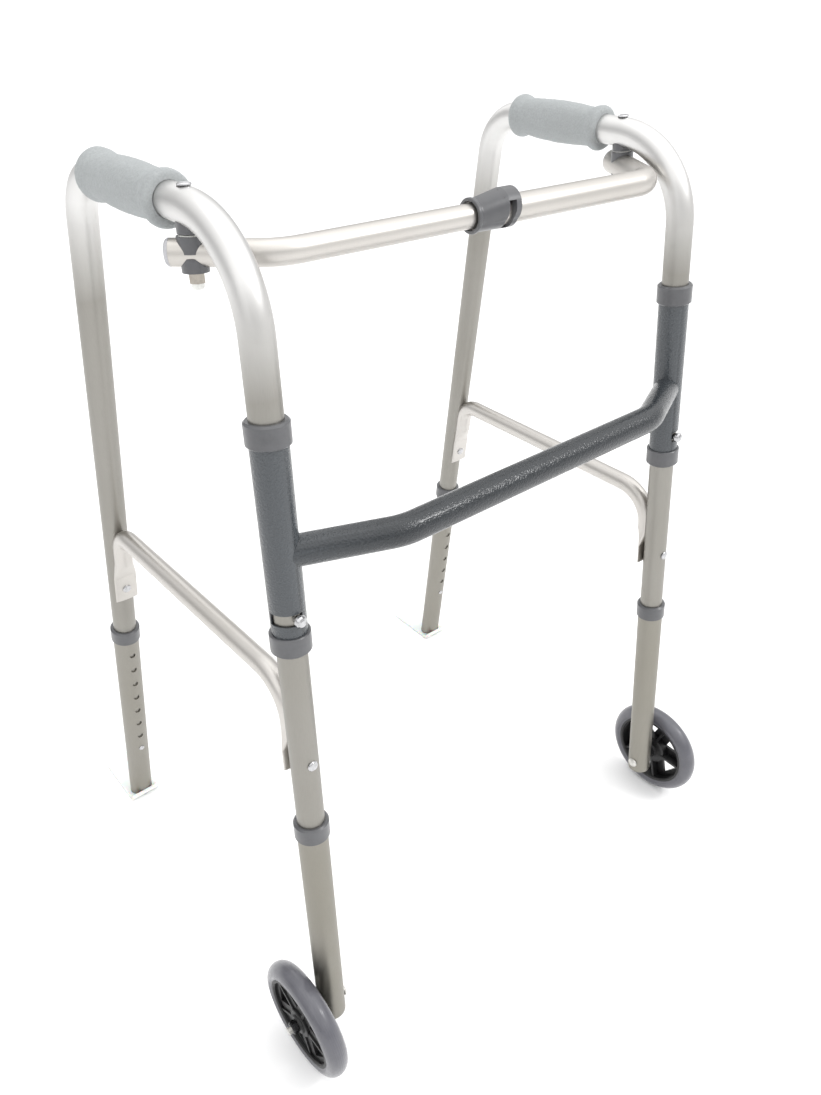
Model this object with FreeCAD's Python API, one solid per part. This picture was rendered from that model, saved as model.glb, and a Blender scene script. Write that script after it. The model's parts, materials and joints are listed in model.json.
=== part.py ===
import FreeCAD, Part
import math
import os

# Folding walking frame with two front wheels and two rear glides.
# Units are millimetres. +Z is up, the front of the frame faces -Y, and "left" is the -X side.
# The origin is on the floor, under the middle of the frame.

os.makedirs("parts", exist_ok=True)
V = FreeCAD.Vector

# ---- overall layout -------------------------------------------------------------------------
FRONT_Y = -234.0          # front leg axis where it meets the floor
REAR_Y = 219.8            # rear leg axis where it meets the floor
FRONT_HALF = 261.9        # half the distance between the two front leg axes at the floor
REAR_HALF = 269.1         # the same for the rear legs
SPLAY = 0.0426            # inward lean of the legs, mm across per mm up
FRONT_RAKE = 0.0819       # backward lean of the front legs, mm per mm up
REAR_RAKE = 0.1705        # forward lean of the rear legs, mm per mm up
HANDLE_Z = 827.0          # height of the handle tube's axis
FRONT_BEND_R = 76.0       # centre-line radius of the bend between front leg and handle
REAR_BEND_R = 48.0        # centre-line radius of the bend between handle and rear leg

# ---- tubes ----------------------------------------------------------------------------------
TUBE_R = 12.7             # main side tube, 25.4 mm across
WALL = 1.3
EXT_R = 14.3              # leg extension, outside the main tube
EXT_BORE = TUBE_R + 0.08  # sliding fit of the extension on the main tube
SLEEVE_R = 14.55          # front sleeves of the cross member
SLEEVE_BORE = 13.25
COLLAR_BORE = TUBE_R + 0.08
CROSS_R = 12.7
BRACE_R = 9.55            # side brace, 19.1 mm across
OUTER_BAR_R = 11.1        # outer telescopic tube, 22.2 mm across
INNER_BAR_R = 9.5         # inner telescopic tube, 19 mm across

# ---- heights along the legs, measured along the leg axis ------------------------------------
MAIN_END_T = 84.0         # lower end of the main tube inside the extension
EXT_END_T = 49.0          # lower end of the front extension
EXT_TOP_T = 322.0         # upper end of the extension tubes
BUTTON_T = 109.2          # snap button, in the lowest hole
HOLE_PITCH = 25.4
HOLE_COUNT = 8
HOLE_R = 3.5
RIVET_T = 398.0
SLEEVE_LOW_T = 518.0
SLEEVE_TOP_T = 702.0
STOP_T = 548.0
BRACE_Z = 465.6           # height of the brace's straight run
WHEEL_Z = 63.5            # wheel radius, and the height of its axle
WHEEL_X = 290.5           # middle plane of each wheel
TYRE_W = 23.4

# ---- folding cross member -------------------------------------------------------------------
CROSS_Z = 598.0
SLOT_SWEEP_DEG = 80.0     # how far the stop pins can travel in the slots of the sleeves
STOP_SLOT_R = 5.2         # half the height of the slot that the stop pin runs in

# ---- telescopic bar between the handles -----------------------------------------------------
BAR_Z = 797.5
BOLT_Y = -97.5            # pivot bolts under the handles
BAR_LEFT_Y = -136.5       # the bar runs slightly askew: its left bend is further back
BAR_RIGHT_Y = -158.0
BAR_LEFT_X = -185.0
BAR_RIGHT_X = 191.5
TELE_X = -13.5            # mouth of the outer tube
INSERT_X = 24.0           # end of the inner tube inside the outer one
LATCH_X = 13.5


# ---------------------------------------------------------------------------------------------
# Small helpers
# ---------------------------------------------------------------------------------------------
def unit(v):
    w = V(v.x, v.y, v.z)
    w.normalize()
    return w


# Side plane of the left frame: origin at the foot of the front leg axis, A up the front leg,
# B towards the rear leg, N outwards.
FOOT = V(-FRONT_HALF, FRONT_Y, 0)
A = unit(V(SPLAY, FRONT_RAKE, 1.0))
TO_REAR = V(-REAR_HALF, REAR_Y, 0) - FOOT
B = unit(TO_REAR - A * TO_REAR.dot(A))
N = A.cross(B)


def side_point(y, z):
    """Point of the left side plane at a given height and depth."""
    det = B.y * A.z - A.y * B.z
    s = ((y - FOOT.y) * A.z - A.y * (z - FOOT.z)) / det
    t = (B.y * (z - FOOT.z) - B.z * (y - FOOT.y)) / det
    return FOOT + B * s + A * t


def front_y(z):
    return FRONT_Y + FRONT_RAKE * z


def rear_y(z):
    return REAR_Y - REAR_RAKE * z


REAR_FOOT = side_point(REAR_Y, 0)
REAR_AXIS = unit(side_point(rear_y(800.0), 800.0) - REAR_FOOT)
REAR_BACK = REAR_AXIS.cross(N)
if REAR_BACK.y < 0:
    REAR_BACK = REAR_BACK * -1.0

# A leg is (point on the floor, direction up, direction to the rear).
FRONT_LEG = (FOOT, A, B)
REAR_LEG = (REAR_FOOT, REAR_AXIS, REAR_BACK)
# The snap buttons face each other: backwards on the front legs, forwards on the rear ones.
BUTTON_SIDE = {"front": B, "rear": REAR_BACK * -1.0}


def cyl(p, d, r, length):
    return Part.makeCylinder(r, length, p, unit(d))


def ring(p, d, r_out, r_in, length):
    return cyl(p, d, r_out, length).cut(cyl(p - unit(d) * 1.0, d, r_in, length + 2.0))


def bent_path(points, radii):
    """Wire through the points, with an arc of the given radius at each inner one."""
    edges = []
    start = points[0]
    for i in range(1, len(points) - 1):
        back = unit(points[i - 1] - points[i])
        ahead = unit(points[i + 1] - points[i])
        angle = back.getAngle(ahead)
        reach = radii[i - 1] / math.tan(angle / 2)
        tangent_in = points[i] + back * reach
        tangent_out = points[i] + ahead * reach
        middle = unit(back + ahead)
        centre = points[i] + middle * (radii[i - 1] / math.sin(angle / 2))
        crown = centre - middle * radii[i - 1]
        edges.append(Part.makeLine(start, tangent_in))
        edges.append(Part.Arc(tangent_in, crown, tangent_out).toShape())
        start = tangent_out
    edges.append(Part.makeLine(start, points[-1]))
    return Part.Wire(edges)


def rod_along(points, radii, r):
    path = bent_path(points, radii)
    circle = Part.Wire(Part.makeCircle(r, points[0], unit(points[1] - points[0])))
    return path.makePipeShell([circle], True, True)


def stretched(points, extra):
    """The same points with both ends moved outwards."""
    out = list(points)
    out[0] = points[0] + unit(points[0] - points[1]) * extra
    out[-1] = points[-1] + unit(points[-1] - points[-2]) * extra
    return out


def tube_along(points, radii, r, wall):
    outer = rod_along(points, radii, r)
    return outer.cut(rod_along(stretched(points, 2.0), radii, r - wall))


def revolve(profile, p, d):
    """Solid of revolution about the axis p, d. The profile is a list of (radius, distance along d)."""
    axis = unit(d)
    side = axis.cross(V(0.3, 0.8, 0.5))
    side = unit(side)
    pts = [p + side * r + axis * h for r, h in profile]
    face = Part.Face(Part.makePolygon(pts + [pts[0]]))
    return face.revolve(p, axis, 360)


def mirrored(shape):
    return shape.mirror(V(0, 0, 0), V(1, 0, 0))


def save(name, shape):
    solids = shape.Solids
    if len(solids) == 1:
        shape = solids[0]
    shape.exportStep("parts/%s.step" % name)


def save_pair(name, shape):
    save("left_" + name, shape)
    save("right_" + name, mirrored(shape))


# ---------------------------------------------------------------------------------------------
# Side frame: one bent tube from front leg over the handle to the rear leg
# ---------------------------------------------------------------------------------------------
HANDLE_FRONT = side_point(front_y(HANDLE_Z), HANDLE_Z)
HANDLE_REAR = side_point(rear_y(HANDLE_Z), HANDLE_Z)
HANDLE_DIR = unit(HANDLE_REAR - HANDLE_FRONT)
BOLT_AT_HANDLE = side_point(BOLT_Y + FRONT_RAKE * (HANDLE_Z - BAR_Z), HANDLE_Z)

side_points = [
    FOOT + A * MAIN_END_T,
    HANDLE_FRONT,
    HANDLE_REAR,
    REAR_FOOT + REAR_AXIS * MAIN_END_T,
]
side_tube = tube_along(side_points, [FRONT_BEND_R, REAR_BEND_R], TUBE_R, WALL)

BUTTON_HOLE_R = 3.46
RIVET_R = 2.4
PIN_R = 3.6
BOLT_R = 3.1
for label, leg in (("front", FRONT_LEG), ("rear", REAR_LEG)):
    foot, axis, back = leg
    button_at = foot + axis * BUTTON_T
    side_tube = side_tube.cut(cyl(button_at, BUTTON_SIDE[label], BUTTON_HOLE_R, 20.0))
    rivet_at = foot + axis * RIVET_T
    side_tube = side_tube.cut(cyl(rivet_at - back * 20.0, back, RIVET_R + 0.05, 40.0))
STOP_AT = FOOT + A * STOP_T
side_tube = side_tube.cut(cyl(STOP_AT, B * -1.0, PIN_R + 0.02, 20.0))
side_tube = side_tube.cut(cyl(BOLT_AT_HANDLE - A * 20.0, A, BOLT_R + 0.05, 40.0))
# The bolt's head is let into the top of the handle tube.
side_tube = side_tube.cut(cyl(BOLT_AT_HANDLE + A * (TUBE_R - 1.0), A, 5.1, 10.0))
save_pair("side_tube", side_tube)

# ---------------------------------------------------------------------------------------------
# Side brace: a smaller tube, bent down at both ends and pressed flat against the legs
# ---------------------------------------------------------------------------------------------
PRESS_T = 3.2             # thickness of the pressed ends
PRESS_GAP = 0.25
PRESS_OFF = TUBE_R + PRESS_GAP + PRESS_T / 2


def pressed_end(end_point, down, width_dir, thick_dir, length, taper):
    """Taper from the round tube to a flat lens-shaped end."""
    flat_at = end_point + down * taper
    half_w = 12.6
    ellipse = Part.Ellipse(flat_at + width_dir * half_w, flat_at + thick_dir * (PRESS_T / 2), flat_at)
    flat = Part.Wire(ellipse.toShape())
    round_mid = Part.Ellipse(
        end_point + down * (taper * 0.5) + width_dir * 11.2,
        end_point + down * (taper * 0.5) + thick_dir * 5.4,
        end_point + down * (taper * 0.5),
    )
    above = end_point - down * 1.5
    start = Part.Ellipse(above + width_dir * (BRACE_R - 0.35), above + thick_dir * (BRACE_R - 0.4), above)
    loft = Part.makeLoft([Part.Wire(start.toShape()), Part.Wire(round_mid.toShape()), flat], True)
    tongue = Part.Face(flat).extrude(down * length)
    return loft.fuse(tongue)


def on_leg(leg, t, offset):
    foot, axis, back = leg
    return foot + axis * t + back * offset


FRONT_OFF = PRESS_OFF
REAR_OFF = -PRESS_OFF
PRESS_TOP_T = 424.0       # where the tube starts to flatten
# The upper corners lie where the two offset leg lines meet the height of the straight run.
front_up = (BRACE_Z - on_leg(FRONT_LEG, 0, FRONT_OFF).z) / A.z
rear_up = (BRACE_Z - on_leg(REAR_LEG, 0, REAR_OFF).z) / REAR_AXIS.z
brace_points = [
    on_leg(FRONT_LEG, PRESS_TOP_T, FRONT_OFF),
    on_leg(FRONT_LEG, front_up, FRONT_OFF),
    on_leg(REAR_LEG, rear_up, REAR_OFF),
    on_leg(REAR_LEG, PRESS_TOP_T + 12.0, REAR_OFF),
]
BRACE_FRONT_R = 40.0
BRACE_REAR_R = 24.0
brace_core = rod_along(brace_points, [BRACE_FRONT_R, BRACE_REAR_R], BRACE_R)
brace_bore = rod_along(brace_points, [BRACE_FRONT_R, BRACE_REAR_R], BRACE_R - 1.2)
front_end = pressed_end(brace_points[0], A * -1.0, N, B, 22.0, 20.0)
rear_end = pressed_end(brace_points[3], REAR_AXIS * -1.0, N, REAR_BACK, 34.0, 20.0)
brace = brace_core.fuse([front_end, rear_end]).removeSplitter()
brace = brace.cut(brace_bore)
# The ends are hollowed where they wrap the legs.
for leg in (FRONT_LEG, REAR_LEG):
    brace = brace.cut(cyl(leg[0] + leg[1] * 340.0, leg[1], TUBE_R + 0.1, 170.0))
for foot, axis, back in (FRONT_LEG, REAR_LEG):
    brace = brace.cut(cyl(foot + axis * RIVET_T - back * 22.0, back, RIVET_R + 0.05, 44.0))
save_pair("side_brace", brace)


def dome_head(p, d, r, h):
    """Shallow domed head whose flat side is at p, facing along d."""
    steps = 6
    profile = [(0, 0), (r, 0)]
    for i in range(steps + 1):
        angle = math.pi / 2 * i / steps
        profile.append((r * math.cos(angle), 0.35 + (h - 0.35) * math.sin(angle)))
    profile[-1] = (0, h)
    return revolve(profile, p, d)


rivets = []
for foot, axis, back, near, far in (
    (FOOT, A, B, TUBE_R + 0.05, PRESS_OFF + PRESS_T / 2 + 0.05),
    (REAR_FOOT, REAR_AXIS, REAR_BACK, PRESS_OFF + PRESS_T / 2 + 0.05, TUBE_R + 0.05),
):
    at = foot + axis * RIVET_T
    shank = cyl(at - back * near, back, RIVET_R, near + far)
    head = dome_head(at - back * near, back * -1.0, 4.9, 2.3)
    tail = dome_head(at + back * far, back, 4.2, 1.8)
    rivets.append(shank.fuse([head, tail]).removeSplitter())
save_pair("brace_rivets", Part.makeCompound(rivets))

# ---------------------------------------------------------------------------------------------
# Foam grip: end flanges, waists and a swelling in the middle
# ---------------------------------------------------------------------------------------------
GRIP_START_Y = -72.0
GRIP_LENGTH = 113.0
GRIP_BORE = TUBE_R + 0.05
grip_start = side_point(GRIP_START_Y, HANDLE_Z)
grip_profile = [(GRIP_BORE, 0.0), (18.4, 0.0), (19.6, 1.4), (19.8, 4.0), (19.5, 7.5), (18.4, 10.5), (17.3, 14.0)]
for i in range(0, 11):
    f = i / 10.0
    h = 18.0 + f * (GRIP_LENGTH - 36.0)
    grip_profile.append((17.0 + 1.75 * math.sin(math.pi * f), h))
grip_profile += [(r, GRIP_LENGTH - h) for r, h in reversed(grip_profile[0:7])]
grip = revolve(grip_profile, grip_start, HANDLE_DIR)
# The foam's rear end follows the start of the bend.
grip = grip.cut(rod_along(side_points, [FRONT_BEND_R, REAR_BEND_R], GRIP_BORE))
save_pair("grip", max(grip.Solids, key=lambda s: s.Volume))

# ---------------------------------------------------------------------------------------------
# Leg extensions with adjustment holes, their collars and the snap buttons
# ---------------------------------------------------------------------------------------------
AXLE_R = 3.95
front_ext = ring(FOOT + A * EXT_END_T, A, EXT_R, EXT_BORE, EXT_TOP_T - EXT_END_T)
rear_low_t = -3.0
rear_ext = ring(REAR_FOOT + REAR_AXIS * rear_low_t, REAR_AXIS, EXT_R, EXT_BORE, EXT_TOP_T - rear_low_t)
# The rear extension's foot is cut level and is let into the glide's plate.
FLOOR_CUT = 2.8
level = Part.makeBox(80, 80, 40, V(REAR_FOOT.x - 40, REAR_FOOT.y - 40, FLOOR_CUT - 40.0))
rear_ext = rear_ext.cut(level)
for i in range(HOLE_COUNT):
    t = BUTTON_T + i * HOLE_PITCH
    front_ext = front_ext.cut(cyl(FOOT + A * t, BUTTON_SIDE["front"], HOLE_R, 20.0))
    rear_ext = rear_ext.cut(cyl(REAR_FOOT + REAR_AXIS * t, BUTTON_SIDE["rear"], HOLE_R, 20.0))
AXLE_AT = FOOT + A * (WHEEL_Z / A.z)
front_ext = front_ext.cut(cyl(AXLE_AT - V(25, 0, 0), V(1, 0, 0), AXLE_R + 0.05, 50.0))
save_pair("front_extension", front_ext)
save_pair("rear_extension", rear_ext)

COLLAR_R = 16.3
EXT_COLLAR_SKIRT = 14.0
EXT_COLLAR_LIP = 4.0


def end_collar(p, d, tube_r, skirt, lip, r_out):
    """Plastic ring: a skirt over a tube's end at p, and a lip that guides the inner tube."""
    low = p - unit(d) * skirt
    r_in = tube_r + 0.05
    profile = [
        (r_in, 0.0),
        (r_out - 0.8, 0.0),
        (r_out, 0.8),
        (r_out, skirt + lip - 1.6),
        (r_out - 1.6, skirt + lip),
        (COLLAR_BORE, skirt + lip),
        (COLLAR_BORE, skirt + 0.05),
        (r_in, skirt + 0.05),
    ]
    return revolve(profile, low, d)


for label, leg in (("front", FRONT_LEG), ("rear", REAR_LEG)):
    foot, axis, back = leg
    collar = end_collar(foot + axis * EXT_TOP_T, axis, EXT_R, EXT_COLLAR_SKIRT, EXT_COLLAR_LIP, COLLAR_R)
    save_pair(label + "_extension_collar", collar)
    # Snap button: flange inside the main tube, shank through both tubes, rounded tip.
    at = foot + axis * BUTTON_T
    button = revolve(
        [(0, 8.2), (4.6, 8.2), (4.6, 9.4), (3.4, 9.4), (3.4, 14.6), (3.0, 15.4), (2.2, 16.0), (0, 16.3)],
        at,
        BUTTON_SIDE[label],
    )
    save_pair(label + "_snap_button", button)

# ---------------------------------------------------------------------------------------------
# Front wheels
# ---------------------------------------------------------------------------------------------
WHEEL_AT = V(-WHEEL_X, AXLE_AT.y, WHEEL_Z)
OUT = V(-1, 0, 0)
half = TYRE_W / 2
RIM_R = 49.0
TYRE_MID_R = 52.5         # the tyre's section is round outside this radius
TYRE_STEPS = 16
tyre_profile = [(RIM_R, -half + 1.4)]
for i in range(TYRE_STEPS + 1):
    angle = math.radians(-90.0 + 180.0 * i / TYRE_STEPS)
    tyre_r = TYRE_MID_R + (WHEEL_Z - TYRE_MID_R) * math.cos(angle)
    tyre_profile.append((tyre_r, half * math.sin(angle)))
tyre_profile.append((RIM_R, half - 1.4))
save_pair("tyre", revolve(tyre_profile, WHEEL_AT, OUT))

HUB_BORE = AXLE_R + 0.06
HUB_HALF = 11.5           # half the length of the hub's boss
WEB_FROM = 2.6            # the web lies towards the wheel's outer face
WEB_T = 3.6
WINDOWS = 5
FIRST_WINDOW_DEG = 1.0    # counted from the rear, rising
rim_profile = [
    (45.2, -9.0),
    (46.4, -10.5),
    (RIM_R, -10.5),
    (RIM_R, 10.5),
    (46.4, 10.5),
    (45.2, 9.0),
]
hub = revolve(rim_profile, WHEEL_AT, OUT)
web = ring(WHEEL_AT + OUT * WEB_FROM, OUT, 46.0, 8.0, WEB_T)
tip_r = 19.5
base_r = 41.5
half_window = math.radians(20.5)
for i in range(WINDOWS):
    middle = math.radians(FIRST_WINDOW_DEG + 360.0 * i / WINDOWS)
    corners = []
    for reach, turn in ((tip_r, 0.0), (base_r, half_window), (base_r, -half_window)):
        corners.append(WHEEL_AT + V(20.0, reach * math.cos(middle + turn), reach * math.sin(middle + turn)))
    window = Part.Face(Part.makePolygon(corners + [corners[0]])).extrude(V(-40.0, 0, 0))
    web = web.cut(window)
hub = hub.fuse(web)
# One rib runs along the middle of every spoke, on both faces of the web.
for i in range(WINDOWS):
    angle = FIRST_WINDOW_DEG + 360.0 * (i + 0.5) / WINDOWS
    rib = Part.makeBox(16.4, 35.5, 3.4, WHEEL_AT + V(-8.2, 10.5, -1.7))
    rib.rotate(WHEEL_AT, V(1, 0, 0), angle)
    hub = hub.fuse(rib)
boss_profile = [
    (HUB_BORE, -HUB_HALF),
    (10.0, -HUB_HALF),
    (11.0, -8.8),
    (18.5, -7.6),
    (20.5, -6.4),
    (20.5, WEB_FROM + 1.0),
    (15.6, WEB_FROM + WEB_T),
    (15.6, 8.6),
    (14.8, 9.4),
    (10.6, 9.4),
    (10.0, HUB_HALF),
    (HUB_BORE, HUB_HALF),
]
hub = hub.fuse(revolve(boss_profile, WHEEL_AT, OUT))
hub = hub.common(cyl(WHEEL_AT - OUT * 20.0, OUT, RIM_R, 40.0))
hub = hub.cut(cyl(WHEEL_AT - OUT * 20.0, OUT, HUB_BORE, 40.0))
save_pair("wheel_hub", hub.removeSplitter())

HUB_IN = -WHEEL_X + 11.5          # inboard end of the hub's boss
HUB_OUT = -WHEEL_X - 11.5
LEG_OUT = AXLE_AT.x - EXT_R       # outboard side of the leg at the axle
LEG_IN = AXLE_AT.x + EXT_R
axle_line = V(0, AXLE_AT.y, WHEEL_Z)
spacer_from = LEG_OUT - 0.8
spacer_len = spacer_from - (HUB_IN + 0.3)
spacer = ring(axle_line + V(spacer_from, 0, 0), OUT, 8.0, AXLE_R + 0.04, spacer_len)
save_pair("axle_spacer", spacer)


def hexagon(p, d, flats, length):
    side = unit(unit(d).cross(V(0, 0, 1)))
    up = unit(d).cross(side)
    pts = []
    for i in range(6):
        angle = math.radians(60 * i + 30)
        reach = flats / 2 / math.cos(math.radians(30))
        pts.append(p + side * (reach * math.cos(angle)) + up * (reach * math.sin(angle)))
    return Part.Face(Part.makePolygon(pts + [pts[0]])).extrude(unit(d) * length)


HEAD_AT = LEG_IN + 0.3
shank_end = HUB_OUT - 11.0
axle = cyl(axle_line + V(HEAD_AT, 0, 0), OUT, AXLE_R, HEAD_AT - shank_end)
axle = axle.fuse(dome_head(axle_line + V(HEAD_AT, 0, 0), OUT * -1.0, 6.2, 3.4))
save_pair("axle_bolt", axle.removeSplitter())
nut = hexagon(axle_line + V(HUB_OUT - 0.4, 0, 0), OUT, 12.0, 6.6)
nut_round = [(0, 0), (6.2, 0), (6.9, 0.9), (6.9, 4.8), (5.2, 6.8), (0, 6.8)]
nut = nut.common(revolve(nut_round, axle_line + V(HUB_OUT - 0.4, 0, 0), OUT))
nut = nut.cut(cyl(axle_line + V(HUB_OUT + 2.0, 0, 0), OUT, AXLE_R + 0.03, 30.0))
save_pair("axle_nut", nut)

# ---------------------------------------------------------------------------------------------
# Rear glides: a ski-shaped plastic foot with an upturned front and a plug inside the leg
# ---------------------------------------------------------------------------------------------
SKI_W = 39.0
SKI_T = 4.0
ski_front = REAR_FOOT.y - 16.0
ski_rear = REAR_FOOT.y + 72.4
ski_side = REAR_FOOT.x
sole = [
    V(0, ski_rear, 3.2),
    V(0, ski_rear - 6.0, 0),
    V(0, ski_front + 10.0, 0),
    V(0, ski_front + 2.0, 2.4),
    V(0, ski_front - 2.5, 7.5),
    V(0, ski_front - 4.0, 12.0),
    V(0, ski_front - 0.6, 13.0),
    V(0, ski_front + 2.6, 8.6),
    V(0, ski_front + 8.0, 5.2),
    V(0, ski_front + 14.0, SKI_T),
    V(0, ski_rear - 8.0, SKI_T),
    V(0, ski_rear - 1.0, 7.0),
]
sole = [V(ski_side - SKI_W / 2, p.y, p.z) for p in sole]
ski = Part.Face(Part.makePolygon(sole + [sole[0]])).extrude(V(SKI_W, 0, 0))
plan = Part.makeBox(SKI_W, ski_rear - ski_front + 4.0, 20.0, V(ski_side - SKI_W / 2, ski_front - 4.0, -2.0))
upright = []
for edge in plan.Edges:
    ends = edge.BoundBox
    if ends.XLength < 0.01 and ends.YLength < 0.01:
        upright.append(edge)
plan = plan.makeFillet(6.5, upright)
ski = ski.common(plan)
recess = cyl(REAR_FOOT - REAR_AXIS * 20.0, REAR_AXIS, EXT_R + 0.05, 80.0)
recess = recess.cut(Part.makeBox(200, 200, 60, V(REAR_FOOT.x - 100, REAR_FOOT.y - 100, FLOOR_CUT - 0.1 - 60.0)))
ski = ski.cut(recess)
plug = cyl(REAR_FOOT - REAR_AXIS * 10.0, REAR_AXIS, EXT_BORE - 0.1, 36.0)
plug = plug.cut(Part.makeBox(200, 200, 60, V(REAR_FOOT.x - 100, REAR_FOOT.y - 100, 1.2 - 60.0)))
ski = ski.fuse(plug).removeSplitter()
save_pair("ski_glide", ski)

# ---------------------------------------------------------------------------------------------
# Cross member: bowed tube welded between two sleeves that turn on the front legs
# ---------------------------------------------------------------------------------------------
sleeve = ring(FOOT + A * SLEEVE_LOW_T, A, SLEEVE_R, SLEEVE_BORE, SLEEVE_TOP_T - SLEEVE_LOW_T)


def turned_sector(t_mid, half_height, sweep_deg, lead_deg):
    """Wedge-shaped cutter around the left leg, from the front towards the outside."""
    r = 20.0
    pts = [V(0, 0, 0)]
    steps = 12
    total = sweep_deg + 2 * lead_deg
    for i in range(steps + 1):
        angle = math.radians(-lead_deg + total * i / steps)
        pts.append((B * -math.cos(angle) + N * math.sin(angle)) * r)
    base = FOOT + A * (t_mid - half_height)
    pts = [base + p for p in pts]
    return Part.Face(Part.makePolygon(pts + [pts[0]])).extrude(A * (2 * half_height))


def slotted(tube, sweep_deg):
    cutter = turned_sector(STOP_T, STOP_SLOT_R, sweep_deg, 18.0)
    tube = tube.cut(cutter)
    return tube


left_sleeve = slotted(sleeve, SLOT_SWEEP_DEG)
right_sleeve = mirrored(left_sleeve)

# The tube bows forwards and slightly upwards between its two bends.
CROSS_BEND_X = 151.0
CROSS_BEND_Y = -226.0
CROSS_BEND_Z = 603.0
CROSS_BEND_R = 46.0
cross_end = FOOT + A * (CROSS_Z / A.z)
cross_points = [
    V(cross_end.x, cross_end.y, CROSS_Z),
    V(-CROSS_BEND_X, CROSS_BEND_Y, CROSS_BEND_Z),
    V(CROSS_BEND_X, CROSS_BEND_Y, CROSS_BEND_Z),
    V(-cross_end.x, cross_end.y, CROSS_Z),
]
cross_tube = rod_along(cross_points, [CROSS_BEND_R, CROSS_BEND_R], CROSS_R)
cross_bore = rod_along(cross_points, [CROSS_BEND_R, CROSS_BEND_R], CROSS_R - WALL)
cross_tube = cross_tube.cut(cross_bore)
sleeve_void = cyl(FOOT + A * (SLEEVE_LOW_T - 5.0), A, SLEEVE_R + 0.02, 200.0)
cross_tube = cross_tube.cut(sleeve_void).cut(mirrored(sleeve_void))
big = max(cross_tube.Solids, key=lambda s: s.Volume)
save("cross_tube", big)
save("left_sleeve", left_sleeve)
save("right_sleeve", right_sleeve)

upper_collar = end_collar(FOOT + A * SLEEVE_TOP_T, A, SLEEVE_R, 14.0, 4.0, 16.8)
lower_collar = end_collar(FOOT + A * SLEEVE_LOW_T, A * -1.0, SLEEVE_R, 14.0, 4.0, 16.8)
four_collars = [upper_collar, lower_collar, mirrored(upper_collar), mirrored(lower_collar)]
save("sleeve_collars", Part.makeCompound(four_collars))

stop_pin = revolve(
    [(0, 10.2), (PIN_R, 10.2), (PIN_R, 15.6), (4.7, 15.6), (5.3, 17.0), (5.0, 18.9), (3.9, 20.4), (2.0, 21.3), (0, 21.6)],
    STOP_AT,
    B * -1.0,
)
save_pair("stop_pin", stop_pin)

# ---------------------------------------------------------------------------------------------
# Telescopic bar between the handles
# ---------------------------------------------------------------------------------------------
# Each pivot bolt runs parallel to its front leg, through the handle tube and the bar's end.
BOLT_BAR_PT = V(BOLT_AT_HANDLE.x, BOLT_AT_HANDLE.y, BOLT_AT_HANDLE.z) - A * ((HANDLE_Z - BAR_Z) / A.z)
LEFT_BOLT = BOLT_BAR_PT
RIGHT_BOLT = V(-LEFT_BOLT.x, LEFT_BOLT.y, LEFT_BOLT.z)
AR = V(-A.x, A.y, A.z)
LEFT_TAIL = 15.5          # how far the tubes run on past the bolts
RIGHT_TAIL = 22.0

left_corner = V(BAR_LEFT_X, BAR_LEFT_Y, BAR_Z)
right_corner = V(BAR_RIGHT_X, BAR_RIGHT_Y, BAR_Z)
BAR_DIR = unit(right_corner - left_corner)


def on_bar(x):
    """Point of the bar's straight axis at a given x."""
    return left_corner + BAR_DIR * ((x - BAR_LEFT_X) / BAR_DIR.x)


left_tail = LEFT_BOLT + unit(LEFT_BOLT - left_corner) * LEFT_TAIL
right_tail = RIGHT_BOLT + unit(RIGHT_BOLT - right_corner) * RIGHT_TAIL
inner_points = [left_tail, left_corner, on_bar(INSERT_X)]
outer_points = [on_bar(TELE_X), right_corner, right_tail]
inner_bar = tube_along(inner_points, [46.0], INNER_BAR_R, 1.2)
outer_bar = tube_along(outer_points, [26.0], OUTER_BAR_R, 1.1)

BORE_OUTER = OUTER_BAR_R - 1.1          # 10.0, inside of the outer tube
BAR_BOLT_HOLE = BOLT_R + 0.25
inner_bar = inner_bar.cut(cyl(LEFT_BOLT - A * 20.0, A, BAR_BOLT_HOLE, 40.0))
outer_bar = outer_bar.cut(cyl(RIGHT_BOLT - AR * 20.0, AR, BAR_BOLT_HOLE, 40.0))

# The latch pin drops through the outer tube into a hole in the inner one.
UP = V(0, 0, 1)
PIN_AT = on_bar(LATCH_X)
LATCH_PIN_R = 2.6
latch_up = unit(BAR_DIR.cross(V(0, 1, 0)).cross(BAR_DIR) * 0.0 + UP)
PIN_DIR = unit(V(0, -0.5, 0.86))
outer_bar = outer_bar.cut(cyl(PIN_AT, PIN_DIR, LATCH_PIN_R + 0.06, 20.0))
inner_bar = inner_bar.cut(cyl(PIN_AT, PIN_DIR, LATCH_PIN_R + 0.06, 20.0))

# Guide bush: a thin sleeve that centres the inner tube in the outer one.
bush_start = on_bar(TELE_X + 4.0)
bush = ring(bush_start, BAR_DIR, BORE_OUTER - 0.05, INNER_BAR_R + 0.05, 14.0)
save("telescope_guide_bush", bush)
save("inner_bar_tube", inner_bar)
save("outer_bar_tube", outer_bar)

# End caps of the two bar tubes
left_out = unit(LEFT_BOLT - left_corner)
right_out = unit(RIGHT_BOLT - right_corner)
cap_left = revolve(
    [(0, -7.0), (7.0, -7.0), (8.2, -6.0), (8.2, 0.1), (INNER_BAR_R, 0.1), (INNER_BAR_R, 1.4), (8.3, 3.0), (5.0, 4.0), (0, 4.4)],
    left_tail,
    left_out,
)
cap_right = revolve(
    [(0, -7.0), (8.6, -7.0), (9.9, -6.0), (9.9, 0.1), (OUTER_BAR_R, 0.1), (OUTER_BAR_R, 1.4), (9.6, 3.0), (6.0, 4.2), (0, 4.6)],
    right_tail,
    right_out,
)
save("left_bar_end_cap", cap_left)
save("right_bar_end_cap", cap_right)

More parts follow.
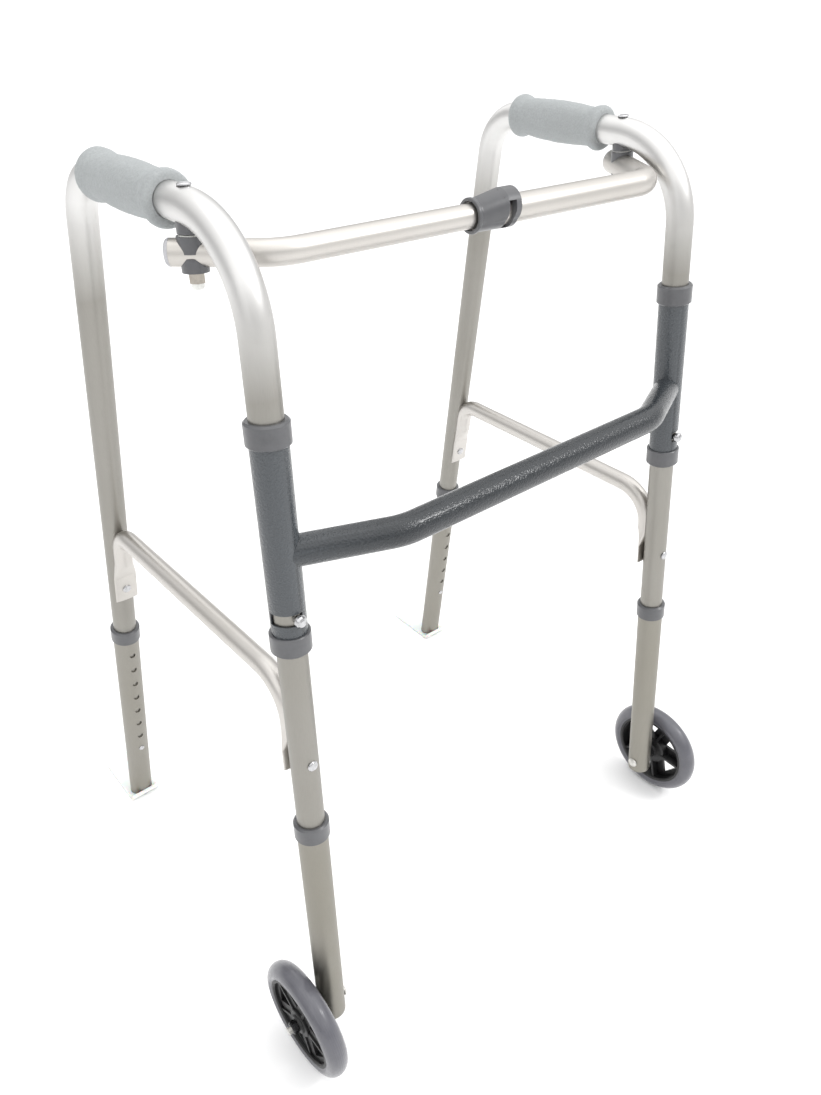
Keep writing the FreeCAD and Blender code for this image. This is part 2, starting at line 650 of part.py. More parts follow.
# Latch collar: a flared mouth, a body that swells upwards to the right, and a slot across its
# front. It slides along the outer tube and carries the pin up or down. It is shown released.
COLLAR_LEN = 41.0
HUMP_RISE = 5.2
HUMP_R = 13.6
LATCH_TRAVEL = 7.0
PIN_TRAVEL = 3.5
collar_from = on_bar(TELE_X - 4.0)
collar_r = OUTER_BAR_R + 0.08
side_w = unit(BAR_DIR.cross(PIN_DIR))
collar_body = revolve(
    [
        (0, 0.0),
        (13.2, 0.0),
        (13.6, 0.6),
        (13.6, 2.2),
        (12.7, 3.6),
        (13.1, 20.0),
        (13.6, 39.8),
        (12.9, COLLAR_LEN),
        (0, COLLAR_LEN),
    ],
    collar_from,
    BAR_DIR,
)


def ring_wire(along, rise, r):
    centre = collar_from + BAR_DIR * along + PIN_DIR * rise
    return Part.Wire(Part.Circle(centre, BAR_DIR, r).toShape())


swell = Part.makeLoft([ring_wire(4.6, 0.2, 12.5), ring_wire(28.0, HUMP_RISE, HUMP_R)], True)
crown = Part.Face(ring_wire(28.0, HUMP_RISE, HUMP_R)).extrude(BAR_DIR * (COLLAR_LEN - 28.6))
collar = collar_body.fuse(swell.fuse(crown)).removeSplitter()
collar = collar.cut(cyl(collar_from - BAR_DIR * 5.0, BAR_DIR, collar_r, COLLAR_LEN + 10.0))


def collar_block(a0, a1, h0, h1, w0, w1):
    """Block cut from the collar: along the bar, up along the pin, and across."""
    start = collar_from + BAR_DIR * a0 + PIN_DIR * h0 + side_w * w0
    pts = [
        start,
        start + BAR_DIR * (a1 - a0),
        start + BAR_DIR * (a1 - a0) + PIN_DIR * (h1 - h0),
        start + PIN_DIR * (h1 - h0),
    ]
    return Part.Face(Part.makePolygon(pts + [pts[0]])).extrude(side_w * (w1 - w0))


pin_along = (PIN_AT - collar_from).dot(BAR_DIR)
# The cavity over the pin is lower on the left, where the pin's head comes to lie when locked.
cavity_from = pin_along - 4.4 - LATCH_TRAVEL
cavity_low = collar_block(cavity_from, cavity_from + 4.0, 4.0, 15.4, -4.8, 4.8)
cavity_high = collar_block(cavity_from + 3.9, pin_along + 4.6, 4.0, 17.1, -4.8, 4.8)
collar = collar.cut(cavity_low.fuse(cavity_high))
# The slot on the front shows the tube and opens the cavity.
facing = -1.0 if side_w.y > 0 else 1.0
front_slot = collar_block(pin_along - 3.4, pin_along + 3.8, -9.0, 16.4, 0.0, facing * 26.0)
collar = collar.cut(front_slot)
collar = max(collar.Solids, key=lambda s: s.Volume).removeSplitter()
save("latch_collar", collar)

latch_pin = revolve(
    [(0, 6.65), (LATCH_PIN_R, 6.65), (LATCH_PIN_R, 11.6), (3.9, 11.6), (3.9, 12.4), (3.2, 13.1), (0, 13.2)],
    PIN_AT + PIN_DIR * PIN_TRAVEL,
    PIN_DIR,
)
save("latch_pin", latch_pin)

# ---------------------------------------------------------------------------------------------
# Pivots: saddles, bolts, washers and nuts under each handle
# ---------------------------------------------------------------------------------------------
# Heights along the bolt axis, counted from the bar's axis.
HANDLE_UP = (HANDLE_Z - BAR_Z) / A.z


def hollowed(shape, p, d, r):
    return shape.cut(cyl(p - unit(d) * 60.0, d, r, 120.0))


def pivot_parts(bolt_pt, a, bar_r, handle_pt, handle_tube, arm_dir, split):
    """Solids of one pivot, for a bar tube of radius bar_r under the handle tube."""
    out = {}
    mid = (HANDLE_UP - TUBE_R + bar_r) / 2 - (1.6 if split else 0.6)
    # A thin washer lies between the two saddles; the left pivot opens above it.
    up_gap = 0.7 if split else 0.1
    down_gap = 0.05 if split else 0.2
    thin = 0.4
    top_from = mid + thin + up_gap
    low_to = mid - thin - down_gap
    out["thrust"] = ring(bolt_pt + a * (mid - thin), a, 8.6, BOLT_R + 0.06, 2 * thin)
    slack = BOLT_R + (0.08 if split else 0.25)
    # The upper saddle fits under the handle tube and ends in a flat round face.
    upper = cyl(bolt_pt + a * top_from, a, 9.4, HANDLE_UP - top_from)
    upper = upper.cut(handle_tube)
    upper = upper.cut(cyl(bolt_pt - a * 5.0, a, BOLT_R + 0.06, 60.0))
    upper = max(upper.Solids, key=lambda s: s.Volume)
    out["upper"] = upper
    # The lower saddle sits on top of the bar and has a skirt down both sides.
    lower = cyl(bolt_pt, a, 10.4, low_to)
    lower = hollowed(lower, bolt_pt, arm_dir, bar_r + 0.1)
    lower = lower.cut(cyl(bolt_pt - a * 5.0, a, slack, 60.0))
    lower = max(lower.Solids, key=lambda s: s.Volume) if len(lower.Solids) == 1 else lower
    out["lower"] = lower
    # The washer saddle cups the underside of the bar.
    wash_low = -(bar_r + 3.2)
    washer = cyl(bolt_pt + a * wash_low, a, 9.6, bar_r + 3.2 - 3.0)
    washer = hollowed(washer, bolt_pt, arm_dir, bar_r + 0.1)
    washer = washer.cut(cyl(bolt_pt + a * (wash_low - 5.0), a, slack, 60.0))
    out["washer"] = washer
    nut_top = wash_low - 0.3
    steel = hexagon(bolt_pt + a * nut_top, a * -1.0, 10.5, 7.0)
    steel = steel.cut(cyl(bolt_pt + a * (nut_top + 5.0), a * -1.0, BOLT_R + 0.03, 40.0))
    out["nut"] = steel
    tip = revolve(
        [(BOLT_R + 0.05, 7.1), (4.6, 7.1), (4.6, 10.0), (3.6, 11.4), (0, 11.6), (0, 11.0), (BOLT_R + 0.05, 11.0)],
        bolt_pt + a * nut_top,
        a * -1.0,
    )
    out["nut_cap"] = tip
    head_at = handle_pt + a * (TUBE_R - 0.9)
    dish = revolve(
        [(0, 0.0), (BOLT_R, 0.0), (5.0, 1.3), (5.0, 2.0), (4.2, 2.8), (2.2, 2.5), (2.0, 1.5), (0, 1.5)],
        head_at,
        a,
    )
    low_end = nut_top - 10.6
    if split:
        top = cyl(bolt_pt + a * top_from, a, BOLT_R, HANDLE_UP + TUBE_R - 0.9 - top_from)
        out["bolt"] = top.fuse(dish).removeSplitter()
        out["stud"] = cyl(bolt_pt + a * low_end, a, BOLT_R, mid + thin - low_end)
    else:
        whole = cyl(bolt_pt + a * low_end, a, BOLT_R, HANDLE_UP + TUBE_R - 0.9 - low_end)
        out["bolt"] = whole.fuse(dish).removeSplitter()
    return out


handle_void = rod_along(side_points, [FRONT_BEND_R, REAR_BEND_R], TUBE_R + 0.1)
left_pivot = pivot_parts(LEFT_BOLT, A, INNER_BAR_R, BOLT_AT_HANDLE, handle_void, left_out, True)
RIGHT_HANDLE_PT = V(-BOLT_AT_HANDLE.x, BOLT_AT_HANDLE.y, BOLT_AT_HANDLE.z)
right_pivot = pivot_parts(
    RIGHT_BOLT, AR, OUTER_BAR_R, RIGHT_HANDLE_PT, mirrored(handle_void), right_out, False
)
for side, pivot in (("left", left_pivot), ("right", right_pivot)):
    save(side + "_upper_saddle", pivot["upper"])
    save(side + "_lower_saddle", pivot["lower"])
    save(side + "_saddle_washer", pivot["washer"])
    save(side + "_pivot_washer", pivot["thrust"])
    save(side + "_pivot_nut", pivot["nut"])
    save(side + "_pivot_nut_cap", pivot["nut_cap"])
    save(side + "_pivot_bolt", pivot["bolt"])
save("left_pivot_stud", left_pivot["stud"])
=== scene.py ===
import bpy
import bmesh
import json
import math
from mathutils import Matrix, Vector, noise


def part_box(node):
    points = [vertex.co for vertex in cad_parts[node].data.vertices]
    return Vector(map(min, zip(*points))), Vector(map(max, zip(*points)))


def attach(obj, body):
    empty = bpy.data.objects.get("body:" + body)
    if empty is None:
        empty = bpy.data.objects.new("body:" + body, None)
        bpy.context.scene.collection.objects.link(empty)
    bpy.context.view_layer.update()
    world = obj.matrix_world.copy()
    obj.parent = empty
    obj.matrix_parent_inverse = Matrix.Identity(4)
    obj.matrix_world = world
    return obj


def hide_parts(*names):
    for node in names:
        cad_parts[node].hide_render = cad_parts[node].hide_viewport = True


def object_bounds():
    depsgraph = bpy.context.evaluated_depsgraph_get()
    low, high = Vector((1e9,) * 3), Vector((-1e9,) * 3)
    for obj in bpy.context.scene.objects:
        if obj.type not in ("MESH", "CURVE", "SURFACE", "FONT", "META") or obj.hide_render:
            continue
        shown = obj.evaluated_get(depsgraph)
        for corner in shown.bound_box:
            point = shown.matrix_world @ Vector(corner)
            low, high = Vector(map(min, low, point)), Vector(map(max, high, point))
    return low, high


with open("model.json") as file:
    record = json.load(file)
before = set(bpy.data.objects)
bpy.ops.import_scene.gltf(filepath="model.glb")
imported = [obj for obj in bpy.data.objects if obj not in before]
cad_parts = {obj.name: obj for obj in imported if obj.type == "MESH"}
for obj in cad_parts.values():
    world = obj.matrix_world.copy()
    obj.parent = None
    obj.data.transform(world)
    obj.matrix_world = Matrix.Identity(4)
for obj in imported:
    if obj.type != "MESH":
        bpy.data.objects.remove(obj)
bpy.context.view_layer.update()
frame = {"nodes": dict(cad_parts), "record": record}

nodes = frame["nodes"]
scene = bpy.context.scene


# ------------------------------------------------------------------------------------------
# Camera: high, from the front left
# ------------------------------------------------------------------------------------------
CAMERA_AT = (-0.50575, -0.65802, 0.96371)
CAMERA_LOOKS = (0.5306, 0.6249, -0.5729)
CAMERA_LENS_MM = 28.57
SENSOR_MM = 36.0
LENS_SHIFT = (-0.0054, 0.0134)

cam_data = bpy.data.cameras.new("camera")
cam = bpy.data.objects.new("camera", cam_data)
scene.collection.objects.link(cam)
forward = Vector(CAMERA_LOOKS).normalized()
right = forward.cross(Vector((0, 0, 1))).normalized()
up = right.cross(forward)
turn = Matrix((right, up, -forward)).transposed().to_4x4()
cam.matrix_world = Matrix.Translation(CAMERA_AT) @ turn
cam_data.lens = CAMERA_LENS_MM
cam_data.sensor_width = SENSOR_MM
cam_data.shift_x, cam_data.shift_y = LENS_SHIFT
cam_data.clip_start = 0.01
cam_data.clip_end = 200.0
scene.camera = cam
scene.view_settings.view_transform = "Standard"


# ------------------------------------------------------------------------------------------
# Material helpers. All patterns use object coordinates, which are metres.
# ------------------------------------------------------------------------------------------
class Mat:
    """A Principled material, with short names for the nodes that the patterns are made of."""

    def __init__(self, name, color, metallic=0.0, roughness=0.5, **sockets):
        self.m = bpy.data.materials.new(name)
        self.m.use_nodes = True
        self.t = self.m.node_tree
        self.b = self.t.nodes["Principled BSDF"]
        self.b.inputs["Base Color"].default_value = (*color, 1.0)
        self.b.inputs["Metallic"].default_value = metallic
        self.b.inputs["Roughness"].default_value = roughness
        for key, value in sockets.items():
            self.b.inputs[key.replace("_", " ")].default_value = value
        self.coord = self.t.nodes.new("ShaderNodeTexCoord").outputs["Object"]
        self.height = None

    def node(self, kind, **props):
        n = self.t.nodes.new(kind)
        for key, value in props.items():
            setattr(n, key, value)
        return n

    def link(self, a, b):
        self.t.links.new(a, b)

    def mapped(self, scale=(1, 1, 1), rotation=(0, 0, 0)):
        n = self.node("ShaderNodeMapping")
        n.inputs["Scale"].default_value = scale
        n.inputs["Rotation"].default_value = rotation
        self.link(self.coord, n.inputs["Vector"])
        return n.outputs["Vector"]

    def noise(self, scale, detail=3.0, rough=0.55, vector=None):
        n = self.node("ShaderNodeTexNoise")
        n.inputs["Scale"].default_value = scale
        n.inputs["Detail"].default_value = detail
        n.inputs["Roughness"].default_value = rough
        self.link(vector or self.coord, n.inputs["Vector"])
        return n.outputs["Fac"]

    def voronoi(self, scale, feature="F1", smooth=None):
        n = self.node("ShaderNodeTexVoronoi", feature=feature)
        n.inputs["Scale"].default_value = scale
        if smooth is not None:
            n.inputs["Smoothness"].default_value = smooth
        self.link(self.coord, n.inputs["Vector"])
        return n.outputs["Distance"]

    def ramp(self, value, stops):
        n = self.node("ShaderNodeValToRGB")
        while len(n.color_ramp.elements) < len(stops):
            n.color_ramp.elements.new(0.5)
        for e, (pos, col) in zip(n.color_ramp.elements, stops):
            e.position = pos
            e.color = (*col, 1.0) if isinstance(col, (tuple, list)) else (col, col, col, 1.0)
        self.link(value, n.inputs["Fac"])
        return n.outputs["Color"]

    def spread(self, value, low, high, lo_in=0.0, hi_in=1.0):
        """Maps value from (lo_in to hi_in) onto (low to high), held at both ends."""
        n = self.node("ShaderNodeMapRange")
        n.inputs["From Min"].default_value = lo_in
        n.inputs["From Max"].default_value = hi_in
        n.inputs["To Min"].default_value = low
        n.inputs["To Max"].default_value = high
        self.link(value, n.inputs["Value"])
        return n.outputs["Result"]

    def mix(self, factor, a, b):
        n = self.node("ShaderNodeMix", data_type="RGBA")
        for socket, v in ((n.inputs[0], factor), (n.inputs[6], a), (n.inputs[7], b)):
            if isinstance(v, (int, float)):
                socket.default_value = v
            elif isinstance(v, (tuple, list)):
                socket.default_value = (*v, 1.0)
            else:
                self.link(v, socket)
        return n.outputs[2]

    def math(self, op, a, b=0.0):
        n = self.node("ShaderNodeMath", operation=op)
        for socket, v in ((n.inputs[0], a), (n.inputs[1], b)):
            if isinstance(v, (int, float)):
                socket.default_value = v
            else:
                self.link(v, socket)
        return n.outputs[0]

    def bump(self, height, strength, distance):
        """Adds a bump on top of those that the material already has."""
        n = self.node("ShaderNodeBump")
        n.inputs["Strength"].default_value = strength
        n.inputs["Distance"].default_value = distance
        self.link(height, n.inputs["Height"])
        if self.height is not None:
            self.link(self.height, n.inputs["Normal"])
        self.height = n.outputs["Normal"]
        self.link(self.height, self.b.inputs["Normal"])

    def color(self, out):
        self.link(out, self.b.inputs["Base Color"])

    def rough(self, out):
        self.link(out, self.b.inputs["Roughness"])

    def edges(self, low=0.52, high=0.60):
        """1 on convex edges and 0 elsewhere."""
        geo = self.node("ShaderNodeNewGeometry")
        return self.spread(geo.outputs["Pointiness"], 0.0, 1.0, low, high)


def scaled(color, by, add=0.0):
    return tuple(min(1.0, c * by + add) for c in color)


PAINTED_TOP_LIGHT_Z = (0.715, 0.800)    # heights between which painted top light brightens the satin tube's tone


def aluminium(name, tint, rough, warm=0.0, painted_top_light=None):
    """Anodised tube: satin, with fine drawing lines along the tube, faint smudges and scuffs.
    Given a top colour, the tone rises to it towards the handles; this brightening is painted light
    from above, as the real tube's tone is even."""
    m = Mat(name, tint, 1.0, rough)
    lines = m.noise(26.0, 5.0, 0.6, m.mapped((60, 60, 1.1)))
    cloud = m.noise(7.0, 3.0, 0.5)
    fine = m.noise(1900.0, 2.0, 0.5)
    patches = m.noise(95.0, 6.0, 0.72, m.mapped((1.0, 1.0, 0.25), (0.4, 0.2, 0.1)))
    scuff = m.ramp(patches, [(0.0, 0.0), (0.66, 0.0), (0.74, 1.0), (1.0, 1.0)])
    dark = scaled(tint, 0.86)
    smudge = (tint[0] * 0.93, tint[1] * 0.925, tint[2] * (0.91 - warm))
    tone = m.mix(m.spread(cloud, 0.0, 1.0, 0.35, 0.7), tint, smudge)
    tone = m.mix(m.spread(lines, 0.0, 0.30, 0.45, 0.75), tone, dark)
    # Painted top light: with height the tone is painted brighter, standing in for light from above
    # on an evenly toned tube.
    if painted_top_light:
        axes = m.node("ShaderNodeSeparateXYZ")
        m.link(m.coord, axes.inputs[0])
        rise = m.math("ADD", axes.outputs["Z"], m.spread(cloud, -0.02, 0.02))
        tone = m.mix(m.spread(rise, 0.0, 1.0, *PAINTED_TOP_LIGHT_Z), tone, painted_top_light)
    m.color(tone)
    r = m.math("ADD", m.spread(lines, rough - 0.05, rough + 0.07), m.spread(cloud, -0.03, 0.05))
    m.rough(m.math("ADD", r, m.math("MULTIPLY", scuff, 0.10)))
    m.bump(lines, 0.05, 0.0006)
    m.bump(fine, 0.05, 0.0003)
    m.bump(m.noise(30.0, 2.0), 0.05, 0.002)
    return m.m


def hammertone():
    """Hammered enamel: fine orange-peel dimples in a glossy dark grey coat."""
    m = Mat("hammertone_enamel", (0.02, 0.024, 0.028), 0.0, 0.26,
            Coat_Weight=0.20, Coat_Roughness=0.05)
    cells = m.voronoi(620.0, "SMOOTH_F1", 0.8)
    cells2 = m.voronoi(1250.0, "SMOOTH_F1", 0.6)
    soft = m.noise(760.0, 2.0, 0.5)
    cloud = m.noise(14.0, 3.0)
    tone = m.mix(m.spread(cells, 0.0, 1.0, 0.15, 0.75), (0.009, 0.012, 0.015), (0.019, 0.023, 0.028))
    tone = m.mix(m.spread(cloud, 0.0, 0.5, 0.35, 0.7), tone, (0.013, 0.016, 0.019))
    tone = m.mix(m.math("MULTIPLY", m.edges(0.56, 0.68), 0.30), tone, (0.22, 0.24, 0.26))
    m.color(tone)
    m.rough(m.spread(cells, 0.16, 0.32, 0.1, 0.8))
    m.bump(cells, 0.50, 0.0007)
    m.bump(soft, 0.30, 0.0006)
    m.bump(cells2, 0.15, 0.0003)
    return m.m


def moulded(name, color, rough, edge=0.35, lift=1.6, coat=0.0):
    """Moulded plastic: fine grain, slow tone changes, paler scuffed edges."""
    m = Mat(name, color, 0.0, rough, Coat_Weight=coat, Coat_Roughness=0.25)
    grain_fac = m.noise(1600.0, 3.0, 0.6)
    cloud = m.noise(60.0, 4.0, 0.6)
    scratch = m.noise(160.0, 7.0, 0.75, m.mapped((0.3, 1.0, 1.0), (0.5, 0.9, 0.3)))
    tone = m.mix(m.spread(cloud, 0.0, 1.0, 0.3, 0.7), scaled(color, 0.88), scaled(color, 1.10))
    wear = m.math("MULTIPLY", m.edges(), m.spread(scratch, 0.1, edge, 0.35, 0.65))
    tone = m.mix(wear, tone, scaled(color, lift, 0.03))
    m.color(tone)
    skin = m.spread(grain_fac, rough - 0.06, rough + 0.08)
    scratched = m.math("MULTIPLY", m.spread(scratch, 0.0, 1.0, 0.58, 0.7), 0.10)
    m.rough(m.math("ADD", skin, scratched))
    m.bump(grain_fac, 0.12, 0.0003)
    m.bump(cloud, 0.05, 0.001)
    return m.m


def foam():
    """Closed-cell foam: matt skin with open pores of two sizes and a dusty sheen."""
    m = Mat("foam_skin", (0.20, 0.212, 0.216), 0.0, 0.93,
            Sheen_Weight=0.12, Sheen_Roughness=0.6, Specular_IOR_Level=0.25)
    m.b.inputs["Sheen Tint"].default_value = (0.75, 0.8, 0.82, 1.0)
    pores = m.voronoi(1250.0)
    coarse = m.noise(620.0, 4.0, 0.65)
    fine = m.noise(2600.0, 3.0, 0.6)
    cloud = m.noise(38.0, 4.0, 0.55)
    tone = m.mix(m.spread(coarse, 0.0, 1.0, 0.38, 0.64), (0.32, 0.335, 0.338), (0.385, 0.402, 0.406))
    tone = m.mix(m.spread(cloud, 0.0, 0.5, 0.35, 0.68), tone, (0.335, 0.350, 0.352))
    # The pores are painted darker: painted shade inside the pits, on top of their real bump.
    tone = m.mix(m.spread(pores, 0.55, 0.0, 0.0, 0.35), tone, (0.23, 0.24, 0.243))
    m.color(tone)
    m.rough(m.spread(coarse, 0.86, 0.98))
    m.bump(coarse, 0.55, 0.0009)
    m.bump(pores, 0.35, 0.0005)
    m.bump(fine, 0.25, 0.0003)
    return m.m


def tyre_rubber():
    """Smooth grey tyre with a soft gloss and a little dust."""
    m = Mat("tyre_grey", (0.10, 0.10, 0.113), 0.0, 0.34, Coat_Weight=0.55, Coat_Roughness=0.16)
    cloud = m.noise(45.0, 4.0, 0.6)
    dust = m.noise(330.0, 5.0, 0.7)
    fine = m.noise(1500.0, 2.0)
    tone = m.mix(m.spread(cloud, 0.0, 1.0, 0.3, 0.7), (0.070, 0.070, 0.084), (0.092, 0.092, 0.108))
    tone = m.mix(m.spread(dust, 0.0, 0.25, 0.58, 0.78), tone, (0.14, 0.14, 0.15))
    m.color(tone)
    m.rough(m.spread(dust, 0.26, 0.48, 0.3, 0.75))
    m.bump(dust, 0.10, 0.0004)
    m.bump(fine, 0.08, 0.0002)
    return m.m


def milky():
    """Milky nylon of the ski glides, with scratches."""
    m = Mat("glide_nylon", (0.80, 0.82, 0.80), 0.0, 0.34, Subsurface_Weight=0.35,
            Subsurface_Scale=0.01, Coat_Weight=0.15, Coat_Roughness=0.2)
    cloud = m.noise(55.0, 4.0, 0.6)
    scratch = m.noise(70.0, 7.0, 0.8, m.mapped((3.0, 0.4, 1.0)))
    fine = m.noise(1300.0, 2.0)
    tone = m.mix(m.spread(cloud, 0.0, 1.0, 0.3, 0.7), (0.70, 0.71, 0.70), (0.80, 0.81, 0.79))
    tone = m.mix(m.spread(scratch, 0.0, 0.25, 0.58, 0.74), tone, (0.54, 0.54, 0.51))
    m.color(tone)
    m.rough(m.spread(scratch, 0.28, 0.50, 0.3, 0.75))
    m.bump(scratch, 0.10, 0.0005)
    m.bump(fine, 0.08, 0.0002)
    return m.m


def metal(name, color, rough, spots=0.0):
    """Small steel parts: turning marks, tarnish in patches, brighter edges."""
    m = Mat(name, color, 1.0, rough)
    marks = m.noise(900.0, 4.0, 0.6, m.mapped((1.0, 1.0, 3.0)))
    cloud = m.noise(260.0, 5.0, 0.65)
    dark = scaled(color, 0.72 - spots)
    tone = m.mix(m.spread(cloud, 0.0, 0.8, 0.42, 0.72), color, dark)
    tone = m.mix(m.math("MULTIPLY", m.edges(0.53, 0.64), 0.5), tone, scaled(color, 1.25, 0.05))
    m.color(tone)
    turned = m.spread(marks, rough - 0.03, rough + 0.10)
    m.rough(m.math("ADD", turned, m.spread(cloud, 0.0, 0.12, 0.4, 0.75)))
    m.bump(marks, 0.12, 0.0002)
    return m.m


MATS = {
    # The upper tubes carry painted top light: colour painted brighter towards the handles, standing
    # in for overhead light.
    "aluminium_upper": aluminium("aluminium_satin_painted_top_light", (0.295, 0.285, 0.262), 0.38,
                                 painted_top_light=(0.66, 0.655, 0.645)),
    "aluminium_lower": aluminium("aluminium_anodised", (0.285, 0.273, 0.245), 0.42, 0.02),
    "aluminium_bright": aluminium("aluminium_bright", (0.56, 0.54, 0.515), 0.36),
    "hammertone": hammertone(),
    "plastic_grey": moulded("collar_grey", (0.070, 0.071, 0.076), 0.34, coat=0.3),
    "plastic_silver": moulded("cap_silver", (0.42, 0.42, 0.44), 0.34, coat=0.2),
    "plastic_black": moulded("hub_black", (0.006, 0.006, 0.0065), 0.46, edge=0.2, lift=2.0),
    "plastic_white": moulded("nylon_white", (0.80, 0.80, 0.77), 0.38, lift=1.1),
    "plastic_milky": milky(),
    "foam_grey": foam(),
    "tyre_grey": tyre_rubber(),
    "steel": metal("steel_dark", (0.36, 0.33, 0.29), 0.30, spots=0.12),
    "steel_black": metal("steel_blackened", (0.045, 0.045, 0.048), 0.22),
    "chrome": metal("chrome_bright", (0.52, 0.52, 0.53), 0.12),
    "zinc": metal("zinc_plate", (0.62, 0.61, 0.58), 0.26, spots=0.05),
}

slot_of = {s["node"]: s["material_slot"] for s in frame["record"]["subparts"]}
for name, obj in nodes.items():
    key = slot_of[name]
    if key == "aluminium":
        if "extension" in name:
            key = "aluminium_lower"
        elif "brace" in name or "bar_tube" in name:
            key = "aluminium_bright"
        else:
            key = "aluminium_upper"
    if "bar_end_cap" in name:
        key = "plastic_silver"
    if "axle" in name and key == "steel":
        key = "steel_black" if "nut" in name else "zinc"
    obj.data.materials.clear()
    obj.data.materials.append(MATS[key])


# ------------------------------------------------------------------------------------------
# Mesh helpers
# ------------------------------------------------------------------------------------------
def add_mesh(name, verts, faces, mat):
    mesh = bpy.data.meshes.new(name)
    mesh.from_pydata([tuple(v) for v in verts], [], faces)
    mesh.update()
    bm = bmesh.new()
    bm.from_mesh(mesh)
    bmesh.ops.recalc_face_normals(bm, faces=bm.faces)
    bm.to_mesh(mesh)
    bm.free()
    obj = bpy.data.objects.new(name, mesh)
    scene.collection.objects.link(obj)
    mesh.materials.append(MATS[mat])
    for p in mesh.polygons:
        p.use_smooth = True
    return obj


def lofted(rings):
    """Vertices and faces of a skin through rings of equal length, the last joined to the first."""
    count = len(rings[0])
    verts = [v for r in rings for v in r]
    faces = []
    for i in range(len(rings)):
        a = i * count
        b = ((i + 1) % len(rings)) * count
        for k in range(count):
            n = (k + 1) % count
            faces.append((a + k, a + n, b + n, b + k))
    return verts, faces


# ------------------------------------------------------------------------------------------
# Foam grips: a closed foam sleeve with rolled end flanges, waists and a swollen middle
# ------------------------------------------------------------------------------------------
HANDLE_Z = 0.827
TUBE_R = 0.0128
REAR_BEND_AT = 0.0383      # depth at which the handle tube starts its rear bend
REAR_BEND_R = 0.048
TOE = 0.0125               # the handles open slightly towards the rear
GRIP_LENGTH = 0.113
GRIP_ROWS = 150
RING_COUNT = 128
FLANGE = 0.0052            # length of a rolled end
WAIST = 0.0165             # from an end to the waist behind its flange
END_R = 0.0162
FLANGE_R = 0.0198
WAIST_R = 0.0171
SWELL = 0.0018             # how far the middle stands out over the waists


def grip_profile():
    """(distance along, outer radius) of the foam, in metres, from the front end to the rear."""
    pts = []
    for i in range(GRIP_ROWS + 1):
        d = GRIP_LENGTH * i / GRIP_ROWS
        e = min(d, GRIP_LENGTH - d)
        if e < FLANGE:
            f = e / FLANGE
            r = END_R + (FLANGE_R - END_R) * math.sqrt(max(0.0, 1 - (1 - f) ** 2))
        elif e < WAIST:
            f = (e - FLANGE) / (WAIST - FLANGE)
            r = FLANGE_R - (FLANGE_R - WAIST_R) * (0.5 - 0.5 * math.cos(math.pi * f))
        else:
            f = (d - WAIST) / (GRIP_LENGTH - 2 * WAIST)
            r = WAIST_R + SWELL * math.sin(math.pi * f) ** 0.9
        pts.append((d, r))
    return pts


def make_grip(side):
    lo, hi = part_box(side + "_grip")
    sign = -1.0 if side == "left" else 1.0
    x_mid = (lo[0] + hi[0]) / 2
    y_mid = (lo[1] + hi[1]) / 2

    def centre(y):
        """Centre of the handle tube at depth y, and the sine of its downward slope there."""
        past = max(0.0, y - REAR_BEND_AT)
        drop = REAR_BEND_R - math.sqrt(REAR_BEND_R ** 2 - past * past)
        x = x_mid + sign * TOE * (y - y_mid)
        return Vector((x, y, HANDLE_Z - drop * 0.9)), past / REAR_BEND_R

    # The section runs from the bore out over the front end, along the skin, and back inside.
    span = hi[1] - lo[1]
    outer = [(lo[1] + d / GRIP_LENGTH * span, r) for d, r in grip_profile()]
    front = outer[0][0]
    rear = outer[-1][0]
    path = [(front, TUBE_R + 0.0002), (front, TUBE_R + 0.0016)]
    path += outer
    path += [(rear, TUBE_R + 0.0016), (rear, TUBE_R + 0.0002)]
    path += [(y, TUBE_R + 0.0001) for y, r in reversed(outer[::15])]
    across = Vector((1, 0, 0))
    rings = []
    for y, r in path:
        c, slope = centre(y)
        tilt = math.asin(min(0.9, slope))
        rise = Vector((0, math.sin(tilt), math.cos(tilt)))
        ring = []
        for k in range(RING_COUNT):
            a = 2 * math.pi * k / RING_COUNT
            p = c + (across * math.cos(a) + rise * math.sin(a)) * r
            if r > TUBE_R + 0.002:
                lump = noise.noise(p * 420.0) * 0.00016 + noise.noise(p * 90.0) * 0.00035
                p = p + (p - c).normalized() * lump
            ring.append(p)
        rings.append(ring)
    verts, faces = lofted(rings)
    obj = add_mesh(side + "_foam_grip", verts, faces, "foam_grey")
    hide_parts(side + "_grip")
    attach(obj, side + "_side")


for side in ("left", "right"):
    make_grip(side)


# ------------------------------------------------------------------------------------------
# Floor and light
# ------------------------------------------------------------------------------------------
REACH = 40.0
FLOOR_TONE = 0.93
BACKDROP = ((0.0, 0.50), (0.10, 0.46), (0.20, 0.30), (0.34, 0.42), (0.55, 0.70), (1.0, 0.90))
BRIGHT_SIDE = (0.55, -0.75, 0.35)
WORLD_STRENGTH = 2.25

floor_mesh = bpy.data.meshes.new("floor")
corners = [(-REACH, -REACH, 0), (REACH, -REACH, 0), (REACH, REACH, 0), (-REACH, REACH, 0)]
floor_mesh.from_pydata(corners, [], [(0, 1, 2, 3)])
floor = bpy.data.objects.new("floor", floor_mesh)
scene.collection.objects.link(floor)
floor.location.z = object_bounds()[0][2] - 0.0002
floor_mat = bpy.data.materials.new("floor_white")
floor_mat.use_nodes = True
floor_bsdf = floor_mat.node_tree.nodes["Principled BSDF"]
floor_bsdf.inputs["Base Color"].default_value = (FLOOR_TONE, FLOOR_TONE, FLOOR_TONE, 1)
floor_bsdf.inputs["Roughness"].default_value = 0.75
floor_mesh.materials.append(floor_mat)

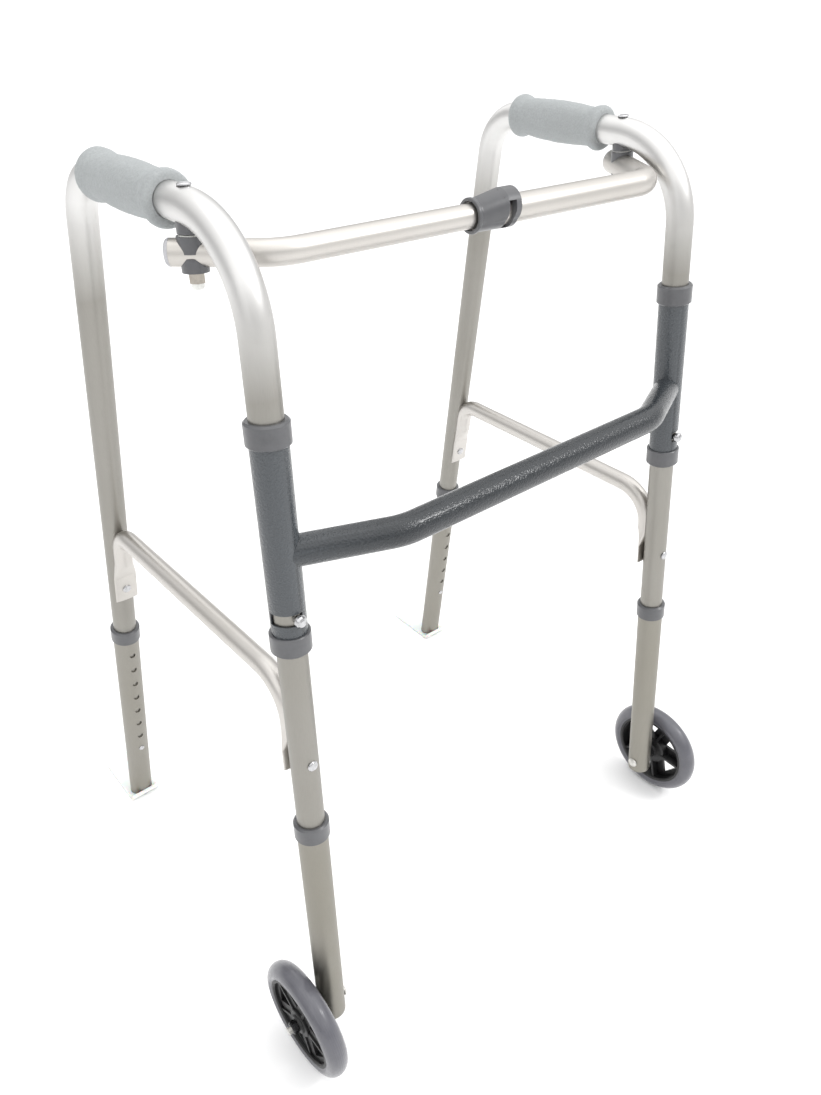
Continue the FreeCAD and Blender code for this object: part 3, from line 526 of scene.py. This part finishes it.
# A pale room: the backdrop's tone follows the height of the direction, with a darker band just
# above the horizon that shapes the tubes' reflections, and one side is brighter than the other.
world = bpy.data.worlds.new("studio")
scene.world = world
world.use_nodes = True
tree = world.node_tree
background = tree.nodes["Background"]
coord = tree.nodes.new("ShaderNodeTexCoord")
axes = tree.nodes.new("ShaderNodeSeparateXYZ")
tree.links.new(coord.outputs["Generated"], axes.inputs[0])
ramp = tree.nodes.new("ShaderNodeValToRGB")
tree.links.new(axes.outputs["Z"], ramp.inputs["Fac"])
while len(ramp.color_ramp.elements) < len(BACKDROP):
    ramp.color_ramp.elements.new(0.5)
for element, (place, level) in zip(ramp.color_ramp.elements, BACKDROP):
    element.position = place
    element.color = (level, level, level, 1)
side_on = tree.nodes.new("ShaderNodeVectorMath")
side_on.operation = "DOT_PRODUCT"
side_on.inputs[1].default_value = BRIGHT_SIDE
side_tone = tree.nodes.new("ShaderNodeMapRange")
side_tone.inputs["From Min"].default_value = -0.2
side_tone.inputs["From Max"].default_value = 0.9
side_tone.inputs["To Min"].default_value = 0.70
side_tone.inputs["To Max"].default_value = 1.08
strength = tree.nodes.new("ShaderNodeMath")
strength.operation = "MULTIPLY"
strength.inputs[1].default_value = WORLD_STRENGTH
tree.links.new(coord.outputs["Generated"], side_on.inputs[0])
tree.links.new(side_on.outputs["Value"], side_tone.inputs["Value"])
tree.links.new(side_tone.outputs["Result"], strength.inputs[0])
tree.links.new(ramp.outputs["Color"], background.inputs["Color"])
tree.links.new(strength.outputs[0], background.inputs["Strength"])


def area(name, at, target, size, power):
    """A square area light at a point, turned to face its target."""
    data = bpy.data.lights.new(name, "AREA")
    data.energy = power
    data.size = size
    obj = bpy.data.objects.new(name, data)
    scene.collection.objects.link(obj)
    obj.location = at
    obj.rotation_euler = (Vector(target) - Vector(at)).to_track_quat("-Z", "Y").to_euler()


area("key_light", (1.6, -2.2, 2.8), (0, 0, 0.45), 0.6, 30)
area("fill_light", (-2.6, -1.2, 1.9), (0, 0, 0.45), 1.8, 6)
area("top_light", (0.0, 0.4, 3.4), (0, 0, 0.3), 2.6, 10)
area("back_light", (0.6, 2.8, 2.0), (0, 0, 0.5), 1.6, 6)
